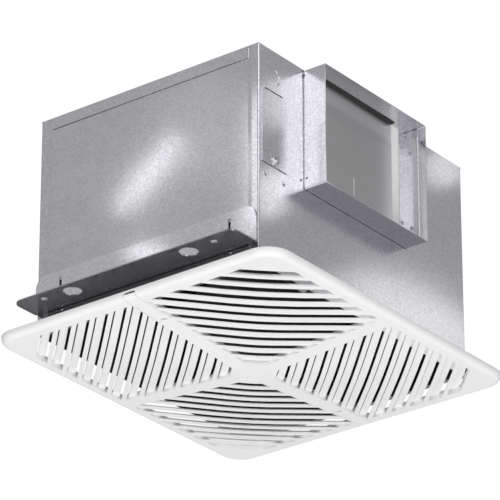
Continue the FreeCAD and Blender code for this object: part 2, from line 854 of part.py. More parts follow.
def make_inlet_ring():
    bend = inlet_hole_radius - inlet_throat_radius - sheet
    y = scroll_low
    lip = inlet_throat_radius + bend
    bend_low = math.sqrt(0.5)
    points = [Vec(inlet_flange_radius, y - sheet, 0), Vec(lip, y - sheet, 0)]
    throat_y = y - sheet + bend
    middle = Vec(lip - bend * bend_low, throat_y - bend * bend_low, 0)
    throat = Vec(inlet_throat_radius, throat_y, 0)
    end = Vec(inlet_throat_radius, y + inlet_reach, 0)
    end_out = Vec(inlet_throat_radius + sheet, y + inlet_reach, 0)
    out_throat = Vec(inlet_throat_radius + sheet, throat_y, 0)
    inner_bend = bend - sheet
    out_middle = Vec(lip - inner_bend * bend_low, throat_y - inner_bend * bend_low, 0)
    out_lip = Vec(lip, y, 0)
    flange = Vec(inlet_flange_radius, y, 0)
    edges = [Part.makeLine(points[0], points[1]), Part.Arc(points[1], middle, throat).toShape(),
             Part.makeLine(throat, end), Part.makeLine(end, end_out), Part.makeLine(end_out, out_throat),
             Part.Arc(out_throat, out_middle, out_lip).toShape(), Part.makeLine(out_lip, flange),
             Part.makeLine(flange, points[0])]
    ring = Part.Face(Part.Wire(edges)).revolve(Vec(0, 0, 0), AXIS_Y, 360)
    ring.translate(Vec(wheel_x, 0, wheel_z))
    return ring


def make_inlet_ring_rear():
    middle = Vec(0, (scroll_low + scroll_high) / 2, 0)
    return make_inlet_ring().mirror(middle, AXIS_Y)


# Impeller

def polar(radius, angle, y):
    turn = math.radians(angle)
    return Vec(wheel_x + radius * math.cos(turn), y, wheel_z + radius * math.sin(turn))


def axle(y):
    return Vec(wheel_x, y, wheel_z)


def wheel_blade(angle, gap, y_low, y_high):
    middle_radius = (blade_inner_radius + blade_outer_radius) / 2
    stations = ((blade_inner_radius - gap, 0), (middle_radius, -blade_mid_angle),
                (blade_outer_radius + gap, -blade_sweep_angle))
    spread = math.degrees(gap / middle_radius)
    front = [polar(radius, angle + lean - spread, y_low) for radius, lean in stations]
    back_spread = blade_thickness_angle + spread
    rear = [polar(radius, angle + lean + back_spread, y_low) for radius, lean in stations]
    edges = [Part.Arc(*front).toShape(), Part.makeLine(front[2], rear[2]),
             Part.Arc(rear[2], rear[1], rear[0]).toShape(), Part.makeLine(rear[0], front[0])]
    return Part.Face(Part.Wire(edges)).extrude(AXIS_Y * (y_high - y_low))


def blade_angles():
    return [360 * index / blade_count for index in range(blade_count)]


def make_impeller_blades():
    y_low = wheel_y_low + wheel_rim_length
    y_high = wheel_y_high - wheel_rim_length
    return Part.makeCompound([wheel_blade(angle, 0, y_low, y_high) for angle in blade_angles()])


def make_impeller_disc():
    rim_outer = blade_outer_radius + wheel_rim_over
    y_low = wheel_y - wheel_disc / 2
    y_high = wheel_y + wheel_disc / 2
    disc = tube(rim_outer, hub_radius + pin_gap, axle(y_low), axle(y_high))
    return disc.cut([wheel_blade(angle, pin_gap, y_low - 1, y_high + 1) for angle in blade_angles()])


def make_impeller_rims():
    outer = blade_outer_radius + wheel_rim_over
    rims = [tube(outer, wheel_rim_inner_radius, axle(wheel_y_low), axle(wheel_y_low + wheel_rim_length)),
            tube(outer, wheel_rim_inner_radius, axle(wheel_y_high - wheel_rim_length), axle(wheel_y_high))]
    return Part.makeCompound(rims)


def make_impeller_hub():
    hub = tube(hub_radius, shaft_diameter / 2 + pin_gap, axle(wheel_y - hub_length / 2),
               axle(wheel_y + hub_length / 2))
    seat = axle(set_screw_y())
    return hub.cut(rod(set_screw_diameter / 2 + pin_gap, seat, seat + AXIS_Z * (hub_radius + 1)))


def set_screw_y():
    return wheel_y - hub_length / 4


def make_hub_set_screw():
    seat = axle(set_screw_y())
    return rod(set_screw_diameter / 2, seat + AXIS_Z * (shaft_diameter / 2 + pin_gap),
               seat + AXIS_Z * (hub_radius + 1))


# Motor

def motor_front():
    return scroll_high + motor_stand_off


def motor_rear():
    return motor_front() + 2 * bell_thickness + motor_length


def make_motor_shaft():
    end = motor_rear() + bell_boss_length
    return rod(shaft_diameter / 2, axle(wheel_y - hub_length / 2 - 3), axle(end))


def motor_bell(face_y_value, outward):
    out = AXIS_Y * outward
    face = axle(face_y_value)
    plate = rod(motor_radius, face, face - out * bell_thickness)
    boss = rod(bell_boss_radius, face, face + out * bell_boss_length)
    bore = rod(bearing_radius + pin_gap, face - out * 2 * bell_thickness, face + out * 2 * bell_boss_length)
    return joined([plate, boss]).cut(bore)


def make_motor_bearings():
    solids = []
    for face_value, outward in ((motor_front(), -1), (motor_rear(), 1)):
        start = axle(face_value) + AXIS_Y * (outward * bell_boss_length)
        end = start - AXIS_Y * (outward * bearing_length)
        solids.append(tube(bearing_radius, shaft_diameter / 2 + shaft_clearance, start, end))
    return Part.makeCompound(solids)


def make_motor_shell():
    return tube(motor_radius, motor_radius - motor_wall, axle(motor_front() + bell_thickness),
                axle(motor_rear() - bell_thickness))


def core_start():
    return (motor_front() + motor_rear() - core_length) / 2


def make_motor_stator():
    start = core_start()
    core_end = start + core_length
    core_radius = motor_radius - motor_wall - pin_gap
    ring = tube(core_radius, stator_bore_radius, axle(start), axle(core_end))
    coil_outer = motor_radius - coil_wall
    coil_inner = stator_bore_radius + coil_wall / 2
    coils = [tube(coil_outer, coil_inner, axle(start - coil_length), axle(start)),
             tube(coil_outer, coil_inner, axle(core_end), axle(core_end + coil_length))]
    return joined([ring] + coils)


def make_motor_rotor():
    start = core_start()
    bore = shaft_diameter / 2 + pin_gap
    return tube(stator_bore_radius - air_gap, bore, axle(start), axle(start + core_length))


def bracket_arm_angles():
    return [90 + 360 * arm / bracket_arm_count for arm in range(bracket_arm_count)]


def make_motor_bracket():
    front = motor_front() - bracket_arm_sheet
    foot_y = scroll_high + grommet_height
    ring = tube(bracket_ring_radius, bell_boss_radius + 1, axle(front), axle(motor_front()))
    half = bracket_arm_width / 2
    outer = bracket_foot_radius + bracket_foot_length / 2
    leg_inner = bracket_foot_radius - bracket_foot_length / 2
    shapes = [ring]
    holes = []
    arm_inner = bracket_ring_radius - bracket_ring_overlap
    leg_back = leg_inner - bracket_arm_sheet
    arm_face = front + bracket_arm_sheet
    for angle in bracket_arm_angles():
        arm = block(arm_inner, leg_inner, front, arm_face, -half, half)
        leg = block(leg_back, leg_inner, foot_y, arm_face, -half, half)
        foot = block(leg_back, outer, foot_y, foot_y + bracket_arm_sheet, -half, half)
        for plate in (arm, leg, foot):
            plate.rotate(Vec(0, 0, 0), AXIS_Y, -angle)
            plate.translate(Vec(wheel_x, 0, wheel_z))
            shapes.append(plate)
        hole = polar(bracket_foot_radius, angle, foot_y - 1)
        holes.append(rod(motor_screw_diameter / 2 + pin_gap, hole, hole + AXIS_Y * (bracket_arm_sheet + 2)))
    return joined(shapes).cut(holes)


def make_motor_grommets():
    solids = []
    for angle in bracket_arm_angles():
        base = polar(bracket_foot_radius, angle, scroll_high)
        bore = motor_screw_diameter / 2 + pin_gap
        solids.append(tube(grommet_radius, bore, base, base + AXIS_Y * grommet_height))
    return Part.makeCompound(solids)


def make_motor_screws():
    solids = []
    for angle in bracket_arm_angles():
        seat = polar(bracket_foot_radius, angle, scroll_high + grommet_height + bracket_arm_sheet)
        head = dome_head(motor_screw_diameter, motor_screw_diameter * 0.6, seat, AXIS_Y)
        tip = polar(bracket_foot_radius, angle, scroll_high - 2 * sheet)
        shank = rod(motor_screw_diameter / 2, seat, tip)
        solids.append(joined([head, shank]))
    return Part.makeCompound(solids)


# Motor lead: out of the motor's shell, under the scroll and up into the wiring box

def lead_points():
    motor_middle = (motor_front() + motor_rear()) / 2
    box_middle = (-inner_y + box_y_high) / 2
    return [Vec(wheel_x, motor_middle, wheel_z - motor_radius), Vec(wheel_x, motor_middle, lead_floor),
            Vec(lead_x, motor_middle, lead_floor), Vec(lead_x, box_middle, lead_floor),
            Vec(lead_x, box_middle, box_z_low + sheet)]


def make_motor_lead():
    points = lead_points()
    edges = []
    start = points[0]
    for before, corner, after in zip(points, points[1:], points[2:]):
        into = (corner - before).normalize()
        away = (after - corner).normalize()
        bend_start = corner - into * lead_bend
        bend_end = corner + away * lead_bend
        centre = bend_start + away * lead_bend
        middle = centre + (corner - centre).normalize() * lead_bend
        edges.append(Part.makeLine(start, bend_start))
        edges.append(Part.Arc(bend_start, middle, bend_end).toShape())
        start = bend_end
    edges.append(Part.makeLine(start, points[-1]))
    path = Part.Wire(edges)
    section = Part.Wire(Part.makeCircle(lead_diameter / 2, points[0], points[1] - points[0]))
    return path.makePipeShell([section], True, False)


def make_lead_clips():
    solids = []
    outer = lead_diameter / 2 + clip_sheet
    half = clip_width / 2
    middle = (collar_y_low + collar_y_high) / 2
    for y in (middle - clip_spacing / 2, middle + clip_spacing / 2):
        start, end = Vec(lead_x, y - half, lead_floor), Vec(lead_x, y + half, lead_floor)
        strap = block(lead_x, inner_x, y - half, y + half,
                      lead_floor - clip_sheet / 2, lead_floor + clip_sheet / 2)
        pad = block(inner_x - clip_sheet, inner_x, y - half, y + half,
                    lead_floor - clip_pad_height / 2, lead_floor + clip_pad_height / 2)
        clip = joined([rod(outer, start, end), strap, pad])
        solids.append(clip.cut(rod(lead_diameter / 2 + pin_gap, start - AXIS_Y, end + AXIS_Y)))
    return Part.makeCompound(solids)


# Grille

def dome_planes():
    # Each plane is (slope along |x|, slope along |y|) of the downward bulge, in parts of its rise
    half_x = grille_x / 2 - rim_round
    half_y = grille_y / 2 - rim_round
    planes = []
    for facet in range(dome_facets):
        share = facet / (dome_facets - 1)
        across = share ** (1 - 1 / dome_norm) / half_x
        along = (1 - share) ** (1 - 1 / dome_norm) / half_y
        for side_x in (-1, 1):
            for side_y in (-1, 1):
                plane = (side_x * across, side_y * along)
                if plane not in planes:
                    planes.append(plane)
    return planes


def dome_height(x, y):
    reach = max(x * across + y * along for across, along in dome_planes())
    return max(-rim_depth - dome_rise * (1 - reach), -dome_drop)


def above_dome(lift):
    # The solid over the grille's outer face, raised by a lift
    size = grille_x + grille_y
    body = block(-grille_x, grille_x, -grille_y, grille_y, lift - dome_drop, lift + dome_drop)
    below = []
    for across, along in dome_planes():
        normal = Vec(-dome_rise * across, -dome_rise * along, 1)
        half_space = Part.makeBox(size, size, size, Vec(-size / 2, -size / 2, -size))
        turn = FreeCAD.Rotation(AXIS_Z, normal)
        half_space.Placement = FreeCAD.Placement(Vec(0, 0, lift - rim_depth - dome_rise), turn)
        below.append(half_space)
    for half_space in below:
        body = body.cut(half_space)
    return body


def dome_layer(low, high):
    return above_dome(low).cut(above_dome(high))


def skin_layer(low, high):
    # A layer of the whole moulding, which also follows the rounded rim
    return grille_body(low).cut(grille_body(high))


def grille_body(inset):
    # A tray with a rounded lower edge, with the bulge under it
    x_half = grille_x / 2 - inset
    y_half = grille_y / 2 - inset
    floor = -rim_depth + inset
    tray = rounded_block(x_half, y_half, floor, 0, grille_corner - inset)
    tray = round_edges(tray, rim_round - inset, lambda edge: edge.BoundBox.ZMax < floor + 1e-3)
    overlap = skin / 4
    bulge = above_dome(inset).common(block(-x_half, x_half, -y_half, y_half, -dome_drop, floor + overlap))
    reach = rounded_block(grille_x / 2 - rim_round, grille_y / 2 - rim_round, -dome_drop, 0,
                          grille_corner - rim_round)
    return tray.fuse(bulge.common(reach))


def clipped_strip(low, high, grow):
    # A strip at 45 degrees, low < p + q < high, cut to a quadrant's opening grown by a margin
    p_low = band_half - grow
    q_low = band_half - grow
    p_high = grille_x / 2 - border_x + grow
    q_high = grille_y / 2 - border_y + grow

    def first(total):
        if total - p_low <= q_high:
            return (p_low, total - p_low)
        return (total - q_high, q_high)

    def last(total):
        if total - q_low <= p_high:
            return (total - q_low, q_low)
        return (p_high, total - p_high)

    points = [first(low), last(low)]
    if points[1][1] == q_low and last(high)[1] != q_low:
        points.append((p_high, q_low))
    points += [last(high), first(high)]
    if points[0][0] == p_low and first(high)[0] != p_low:
        points.append((p_low, q_high))
    return points


def quadrant_prism(points, side_x, side_y):
    deep = 2 * dome_drop
    corners = [(side_x * p, side_y * q, -deep) for p, q in points]
    return prism(corners, AXIS_Z * 2 * deep)


def slot_range(index, width):
    middle = first_slot + slot_pitch * index
    return math.sqrt(2) * (middle - width / 2), math.sqrt(2) * (middle + width / 2)


def strip_region(grow, top):
    # The cover strip's outline seen from below, cut off at a height on the rounded rim
    half = strip_width / 2 + grow
    return block(-half, half, -grille_y / 2 - 1, strip_end() + grow, -2 * dome_drop, top)


def strip_end():
    return -grille_screw_y + strip_inner_reach


def both_ends(shape):
    return [shape, mirrored_y(shape)]


def pry_slots():
    # The openings at the two ends of a cover strip, where a blade lifts it out
    outer_half = strip_width / 2
    rim = -grille_y / 2
    outer = block(-outer_half, outer_half, rim - 1, rim + strip_pry_depth,
                  -strip_below_rim, strip_pry_gap - strip_below_rim)
    behind_rim = block(-outer_half, outer_half, rim + skin, rim + strip_pry_depth, -strip_below_rim, 1)
    inner_half = strip_notch_width / 2
    inner = block(-inner_half, inner_half, strip_end() - strip_notch_depth, strip_end() + strip_gap,
                  -2 * dome_drop, -skin)
    return [outer, behind_rim, inner]


def row_recess(index):
    # The slats of the outermost rows lie deeper, row by row
    return slat_recess + slat_recess_step * max(0, index + 1 + deep_slats - slot_count)


def make_grille():
    outer = grille_body(0)
    hollow = grille_body(skin)
    slots = []
    slats = {}
    frames = []
    for side_x in (-1, 1):
        for side_y in (-1, 1):
            for index in range(slot_count):
                slot = clipped_strip(*slot_range(index, slot_width), 0)
                slat = clipped_strip(*slot_range(index, slat_width), frame_wall / 2)
                slots.append(quadrant_prism(slot, side_x, side_y))
                slats.setdefault(row_recess(index), []).append(quadrant_prism(slat, side_x, side_y))
            low = slot_range(0, slot_width)[0]
            high = slot_range(slot_count - 1, slot_width)[1]
            margin = frame_wall * math.sqrt(2)
            inside = quadrant_prism(clipped_strip(low, high, 0), side_x, side_y)
            around = quadrant_prism(clipped_strip(low - margin, high + margin, frame_wall), side_x, side_y)
            frames.append(around.cut(inside))
    shell = outer.cut([hollow] + slots)
    added = [dome_layer(recess, recess + slat_thickness).common(row) for recess, row in slats.items()]
    frame_layer = dome_layer(skin / 2, frame_depth)
    pad_layer = skin_layer(skin / 2, strip_pad)
    pads = both_ends(strip_region(frame_wall, 0))
    bosses = []
    bores = []
    for side in (-1, 1):
        y = side * grille_screw_y
        floor = dome_height(0, y)
        bosses.append(rod(grille_boss_diameter / 2, Vec(0, y, floor + skin), Vec(0, y, -grille_boss_gap)))
        bores.append(rod(grille_screw_diameter / 2 + pin_gap, Vec(0, y, floor - 5), Vec(0, y, 5)))
        bores.append(rod(grille_screw_head_diameter / 2 + screw_gap, Vec(0, y, floor - 5),
                         Vec(0, y, grille_screw_seat())))
    added += [frame_layer.common(frames), pad_layer.common(pads)] + bosses
    body = shell.fuse([solid for shape in added for solid in shape.Solids])
    pocket = strip_region(strip_gap, strip_pry_gap - strip_below_rim)
    pocket = pocket.cut(grille_body(strip_thickness + strip_seat_gap))
    for opening in [pocket] + pry_slots():
        bores += both_ends(opening)
    return body.cut(bores)


def grille_screw_seat():
    return dome_height(0, grille_screw_y) + strip_thickness + strip_seat_gap + grille_screw_head + screw_gap


def make_cover_strip():
    strip = strip_region(0, -strip_below_rim)
    notch_half = strip_notch_width / 2
    deep = 2 * dome_drop
    notch = block(-notch_half, notch_half, strip_end() - strip_notch_depth, strip_end() + 1, -deep, deep)
    return skin_layer(0, strip_thickness).common(strip).cut(notch)


def make_grille_screws():
    solids = []
    seat = grille_screw_seat()
    for side in (-1, 1):
        y = side * grille_screw_y
        head = dome_head(grille_screw_head_diameter / 2, grille_screw_head, Vec(0, y, seat), -AXIS_Z)
        shank = rod(grille_screw_diameter / 2, Vec(0, y, seat), Vec(0, y, grille_screw_tip))
        solids.append(joined([head, shank]))
    return Part.makeCompound(solids)


def make_spring_nuts():
    y = -grille_screw_y
    plate_half = inner_y - grille_screw_y - screw_gap
    plate = block(-plate_half, plate_half, y - plate_half, y + plate_half, sheet, 2 * sheet)
    neck = rod(grille_screw_diameter, Vec(0, y, 2 * sheet), Vec(0, y, 5 * sheet))
    hole = rod(grille_screw_diameter / 2 + screw_gap, Vec(0, y, 0), Vec(0, y, 2 * grille_screw_tip))
    nut = joined([plate, neck]).cut(hole)
    return Part.makeCompound(both_ends(nut))


def main():
    os.makedirs("parts", exist_ok=True)
    save("top_panel", make_top_panel())
    save("discharge_panel", make_discharge_panel())
    save("back_panel", make_back_panel())
    save("end_panel_front", make_end_panel())
    save("end_panel_rear", mirrored_y(make_end_panel()))
    save("end_panel_rivets", end_panel_rivets())
    save("duct_collar", make_duct_collar())
    save("collar_rivets", collar_rivets())
    save("damper_flap", make_damper_flap())
    save("damper_rod", make_damper_rod())
    save("damper_bushes", make_damper_bushes())
    save("damper_stop", make_damper_stop())
    save("damper_top_seal", make_damper_top_seal())
    save("damper_side_seals", make_side_seals())
    save("damper_side_angles", make_side_angles())
    save("seal_rivets", make_seal_rivets())
    save("wiring_cover", make_wiring_cover())
    save("wiring_cover_screw", make_wiring_cover_screw())
    save("cable_knockout", make_cable_knockout())
    save("wiring_box", make_wiring_box())
    save("wiring_box_rivets", make_box_rivets())
    save("wiring_receptacle", make_receptacle())
    save("ground_screw", make_ground_screw())
    save("mounting_bracket_front", make_mounting_bracket())
    save("mounting_bracket_rear", mirrored_y(make_mounting_bracket()))
    save("bracket_screws", make_bracket_screws())
    save("scroll_wrap", make_scroll_wrap())
    save("scroll_side_front", make_scroll_side_front())
    save("scroll_side_rear", make_scroll_side_rear())
    save("inlet_ring_front", make_inlet_ring())
    save("inlet_ring_rear", make_inlet_ring_rear())
    save("impeller_blades", make_impeller_blades())
    save("impeller_disc", make_impeller_disc())
    save("impeller_rims", make_impeller_rims())
    save("impeller_hub", make_impeller_hub())
    save("hub_set_screw", make_hub_set_screw())
    save("motor_shaft", make_motor_shaft())
    save("motor_front_bell", motor_bell(motor_front(), -1))
    save("motor_rear_bell", motor_bell(motor_rear(), 1))
    save("motor_bearings", make_motor_bearings())
    save("motor_shell", make_motor_shell())
    save("motor_stator", make_motor_stator())
    save("motor_rotor", make_motor_rotor())
    save("motor_bracket", make_motor_bracket())
    save("motor_grommets", make_motor_grommets())
    save("motor_screws", make_motor_screws())
    save("motor_lead", make_motor_lead())
    save("lead_clips", make_lead_clips())
    save("grille", make_grille())
    strip = make_cover_strip()
    save("grille_strip_front", strip)
    save("grille_strip_rear", mirrored_y(strip))
    save("grille_screws", make_grille_screws())
    save("grille_spring_nuts", make_spring_nuts())


main()
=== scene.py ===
# %% [markdown]
# # Dressing a ceiling exhaust fan
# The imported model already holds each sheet, screw and slat of the fan at its true size and shape.
# This lesson gives those solids their real finishes and lights the fan as a studio would. It adds no pieces.
# Everything is in metres: Z = 0 is the ceiling plane, +X points out of the duct collar,
# and -Y is the end with the wiring cover.

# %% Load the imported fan
import json
import math

import bpy
from mathutils import Matrix, Vector

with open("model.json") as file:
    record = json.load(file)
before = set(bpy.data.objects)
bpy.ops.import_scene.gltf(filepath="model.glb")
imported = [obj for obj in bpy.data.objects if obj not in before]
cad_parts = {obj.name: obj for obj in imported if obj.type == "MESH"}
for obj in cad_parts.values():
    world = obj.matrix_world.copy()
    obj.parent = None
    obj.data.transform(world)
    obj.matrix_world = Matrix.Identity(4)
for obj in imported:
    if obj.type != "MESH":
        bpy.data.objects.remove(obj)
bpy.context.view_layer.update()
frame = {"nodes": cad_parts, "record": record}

NODES = frame["nodes"]

# %% [markdown]
# ## Camera
# The fan hangs over the viewer, so the camera stands low and looks up at it through a long lens.
# The angle, the distance and the focal length come from fitting the fan's straight edges,
# and two small offsets put the fan where it sits in the frame.

# %% Place the camera
CAMERA_AZIMUTH = math.radians(37.704)
CAMERA_ELEVATION = math.radians(-25.695)
CAMERA_DISTANCE = 4.678
FOCAL_LENGTH_PIXELS = 3983.0
FRAME_PIXELS = 500
SENSOR_MM = 36.0
FAN_MIDDLE = Vector((0.0, 0.0, 0.1302))
OFFSET_LEFT = 0.00425
OFFSET_UP = 0.00647

toward_camera = Vector((
    math.sin(CAMERA_AZIMUTH) * math.cos(CAMERA_ELEVATION),
    -math.cos(CAMERA_AZIMUTH) * math.cos(CAMERA_ELEVATION),
    math.sin(CAMERA_ELEVATION),
))
camera_right = Vector((math.cos(CAMERA_AZIMUTH), math.sin(CAMERA_AZIMUTH), 0.0))
camera_up = toward_camera.cross(camera_right)
look_at = FAN_MIDDLE - camera_right * OFFSET_LEFT + camera_up * OFFSET_UP

lens = bpy.data.cameras.new("photo_lens")
lens.sensor_width = SENSOR_MM
lens.lens = FOCAL_LENGTH_PIXELS / FRAME_PIXELS * SENSOR_MM
camera = bpy.data.objects.new("photo_camera", lens)
camera.location = look_at + toward_camera * CAMERA_DISTANCE
camera.rotation_euler = (-toward_camera).to_track_quat("-Z", "Y").to_euler()
bpy.context.scene.collection.objects.link(camera)
bpy.context.scene.camera = camera
print("camera at", [round(value, 3) for value in camera.location])

# %% [markdown]
# ## Floor
# The fan is shown on plain white over a pale floor. The floor lies so far down that a camera can look up
# at the grille from below without meeting it, and it glows a little, so it stays pale in views from above.
# Materials here are built from nodes, and two helpers keep that short: one starts a material with its
# shader, the other adds a node, sets its options, and either links or fills its inputs.

# %% Pale floor
FLOOR_Z = -12.0
FLOOR_SIZE = 23.0
FLOOR_GLOW = 0.7


def deselect_everything():
    for item in bpy.context.selected_objects:
        item.select_set(False)


def connect(tree, kind, inputs=None, **settings):
    made = tree.nodes.new(kind)
    for name, value in settings.items():
        setattr(made, name, value)
    for name, value in (inputs or {}).items():
        if isinstance(value, bpy.types.NodeSocket):
            tree.links.new(value, made.inputs[name])
        else:
            made.inputs[name].default_value = value
    return made


def new_material(name):
    material = bpy.data.materials.new(name)
    material.use_nodes = True
    tree = material.node_tree
    return material, tree, tree.nodes["Principled BSDF"]


deselect_everything()
bpy.ops.mesh.primitive_plane_add(size=FLOOR_SIZE, location=(0.0, 0.0, FLOOR_Z))
floor = bpy.context.object
floor.name = "studio_floor"
floor_paint, tree, shader = new_material("pale floor")
mottle = connect(tree, "ShaderNodeTexNoise", {"Scale": 3.0, "Detail": 2.0})
shade = connect(tree, "ShaderNodeValToRGB", {"Fac": mottle.outputs["Fac"]})
shade.color_ramp.elements[0].color = (0.80, 0.80, 0.80, 1.0)
shade.color_ramp.elements[1].color = (0.86, 0.86, 0.86, 1.0)
tree.links.new(shade.outputs["Color"], shader.inputs["Base Color"])
tree.links.new(shade.outputs["Color"], shader.inputs["Emission Color"])
shader.inputs["Emission Strength"].default_value = FLOOR_GLOW
shader.inputs["Roughness"].default_value = 0.7
floor.data.materials.append(floor_paint)
print("floor of", FLOOR_SIZE, "m at", FLOOR_Z)

# %% [markdown]
# ## World
# The world is white to the eye but greyer as a light, because bright metal only shows its form when what it
# mirrors changes from place to place. So the world holds soft patches, each around one direction.
# A direction is the way the camera's line of sight leaves the flat sides after they mirror it once or twice,
# which is why all have the same three numbers and differ only in sign. Each row also has the angle out to
# which a patch is even, the angle where it ends, and how much lighter or darker it is than the grey around it.
# The two dark ones lie low, where the bracket flange that faces down looks.

# %% Soft patches in a grey sky
SKY_BELOW = 0.30
SKY_ABOVE = 0.26
SKY_TINT = (1.0, 0.99, 1.02, 1.0)
BACKDROP_WHITE = (1.0, 1.0, 1.0, 1.0)
BACKDROP_STRENGTH = 1.02
SKY_PATCHES = (
    ("in the discharge side", (0.55, 0.71, 0.43), 8.0, 40.0, 0.15),
    ("in the near end", (-0.55, -0.71, 0.43), 8.0, 40.0, 0.24),
    ("under the collar", (0.55, 0.71, -0.43), 8.0, 35.0, 0.08),
    ("under the flange's free end", (-0.55, 0.71, -0.43), 8.0, 18.0, -0.28),
    ("under the flange", (-0.55, -0.71, -0.43), 8.0, 18.0, -0.22),
)

world = bpy.data.worlds.new("white studio")
bpy.context.scene.world = world
world.use_nodes = True
tree = world.node_tree
tree.nodes.clear()
direction = connect(tree, "ShaderNodeTexCoord")
height = connect(tree, "ShaderNodeSeparateXYZ", {"Vector": direction.outputs["Generated"]})
sky = connect(tree, "ShaderNodeMapRange", {"Value": height.outputs["Z"], "From Min": -1.0, "From Max": 1.0,
                                           "To Min": SKY_BELOW, "To Max": SKY_ABOVE})


def add_patch(total, seen, toward, half_angle, edge_angle, change):
    axis = Vector(toward).normalized()
    nearness = connect(tree, "ShaderNodeVectorMath", {0: direction.outputs["Generated"], 1: axis},
                       operation="DOT_PRODUCT")
    spot = connect(tree, "ShaderNodeMapRange",
                   {"Value": nearness.outputs["Value"], "From Min": math.cos(math.radians(edge_angle)),
                    "From Max": math.cos(math.radians(half_angle)), "To Max": change},
                   interpolation_type="SMOOTHSTEP", label="seen " + seen)
    return connect(tree, "ShaderNodeMath", {0: total, 1: spot.outputs["Result"]}, operation="ADD").outputs[0]


light_level = sky.outputs["Result"]
for patch in SKY_PATCHES:
    light_level = add_patch(light_level, *patch)
print("sky with", len(SKY_PATCHES), "patches")

# %% White to the eye
lighting = connect(tree, "ShaderNodeBackground", {"Color": SKY_TINT, "Strength": light_level})
backdrop = connect(tree, "ShaderNodeBackground", {"Color": BACKDROP_WHITE, "Strength": BACKDROP_STRENGTH})
ray = connect(tree, "ShaderNodeLightPath")
chosen = connect(tree, "ShaderNodeMixShader", {"Fac": ray.outputs["Is Camera Ray"]})
tree.links.new(lighting.outputs["Background"], chosen.inputs[1])
tree.links.new(backdrop.outputs["Background"], chosen.inputs[2])
connect(tree, "ShaderNodeOutputWorld", {"Surface": chosen.outputs["Shader"]})
bpy.context.scene.view_settings.view_transform = "Standard"
print("world", world.name, "ready")

# %% [markdown]
# ## Panel below
# One large soft panel stands low in front and lights the white grille from below, as a room under a
# ceiling does. It is broad and dim, so a side of the fan that mirrors it in another view doesn't turn white.

# %% Soft panel from below
BELOW = Vector((1.0, -1.3, -1.7))
BELOW_SIZE = 4.6
BELOW_WATTS = 64.0


def soft_panel(name, place, turn, width, length, watts, shape):
    panel = bpy.data.lights.new(name, "AREA")
    panel.shape = shape
    panel.size = width
    panel.size_y = length
    panel.energy = watts
    holder = bpy.data.objects.new(name, panel)
    holder.location = place
    holder.rotation_euler = turn
    holder.visible_camera = False
    bpy.context.scene.collection.objects.link(holder)


facing_fan = (-BELOW).to_track_quat("-Z", "Y").to_euler()
soft_panel("below_panel", BELOW, facing_fan, BELOW_SIZE, BELOW_SIZE, BELOW_WATTS, "SQUARE")
print("below_panel at", list(BELOW))

# %% [markdown]
# ## Sheens
# The sheets get their sheen from small ellipses of light close by. A flat sheet mirrors such an ellipse at
# one spot, so its place is worked out backwards: from the camera to the spot, mirrored by the sheet, and a
# little further. Where two upright sheets meet in an inner corner, light is mirrored twice, as if by one
# upright mirror that faces the camera. Two ellipses serve the corners beside the collar and inside it.
# Each row gives a spot, the way its sheet faces, the ellipse's long direction, how far off it stands,
# its width and length, and how bright it is.

# %% Small sheens
TOWARD_END = (0, -1, 0)
TOWARD_DISCHARGE = (1, 0, 0)
TOWARD_CORNER = (math.sin(CAMERA_AZIMUTH), -math.cos(CAMERA_AZIMUTH), 0)
UPRIGHT = (0, 0, 1)
LEVEL = (0, 1, 0)
SHEENS = (
    ("end_sheen", (0.002, -0.1983, 0.156), TOWARD_END, (0.79, 0, 0.62), 0.20, 0.022, 0.125, 1.40),
    ("end_glow", (0.085, -0.1983, 0.185), TOWARD_END, UPRIGHT, 0.30, 0.110, 0.120, 0.12),
    ("end_edge_sheen", (0.166, -0.1993, 0.122), TOWARD_END, UPRIGHT, 0.20, 0.030, 0.170, 1.10),
    ("leg_sheen", (0.003, -0.2010, 0.057), TOWARD_END, (1, 0, -0.2), 0.20, 0.018, 0.050, 1.30),
    ("leg_end_sheen", (0.148, -0.2010, 0.052), TOWARD_END, UPRIGHT, 0.15, 0.022, 0.040, 0.40),
    ("corner_sheen", (0.161, -0.135, 0.155), TOWARD_CORNER, UPRIGHT, 0.25, 0.13, 0.34, 1.80),
    ("collar_sheen", (0.180, 0.055, 0.180), TOWARD_CORNER, UPRIGHT, 0.25, 0.09, 0.30, 1.60),
    ("cover_top_sheen", (0.161, -0.170, 0.208), TOWARD_DISCHARGE, UPRIGHT, 0.20, 0.045, 0.060, 0.60),
    ("below_cover_sheen", (0.161, -0.177, 0.093), TOWARD_DISCHARGE, UPRIGHT, 0.20, 0.035, 0.060, 1.00),
    ("lower_edge_sheen", (0.161, 0.090, 0.030), TOWARD_DISCHARGE, LEVEL, 0.40, 0.090, 0.230, 0.80),
    ("upper_corner_sheen", (0.161, 0.160, 0.258), TOWARD_DISCHARGE, LEVEL, 0.20, 0.045, 0.050, 0.75),
)


def sheen_panel(name, spot, facing, along, distance, width, length, radiance):
    spot = Vector(spot)
    mirrored = (spot - camera.location).normalized().reflect(Vector(facing))
    side = Vector(along).cross(mirrored).normalized()
    turn = Matrix((side, mirrored.cross(side), mirrored)).transposed().to_euler()
    watts = radiance * math.pi * (math.pi / 4 * width * length)
    soft_panel(name, spot + mirrored * distance, turn, width, length, watts, "ELLIPSE")


for sheen in SHEENS:
    sheen_panel(*sheen)

# %% [markdown]
# ## Zinc spangle
# Hot-dip galvanised sheet is covered in zinc crystals. Each one is a small flat patch that mirrors a little
# differently from its neighbours, with slow clouds of lighter and darker zinc over them.
# Cells of a Voronoi texture stand for the crystals. They are shared by all zinc finishes as a node group
# that only puts out shades and heights, so each material keeps its own shader.

# %% Spangle node group
FLOAT = "NodeSocketFloat"
VECTOR = "NodeSocketVector"


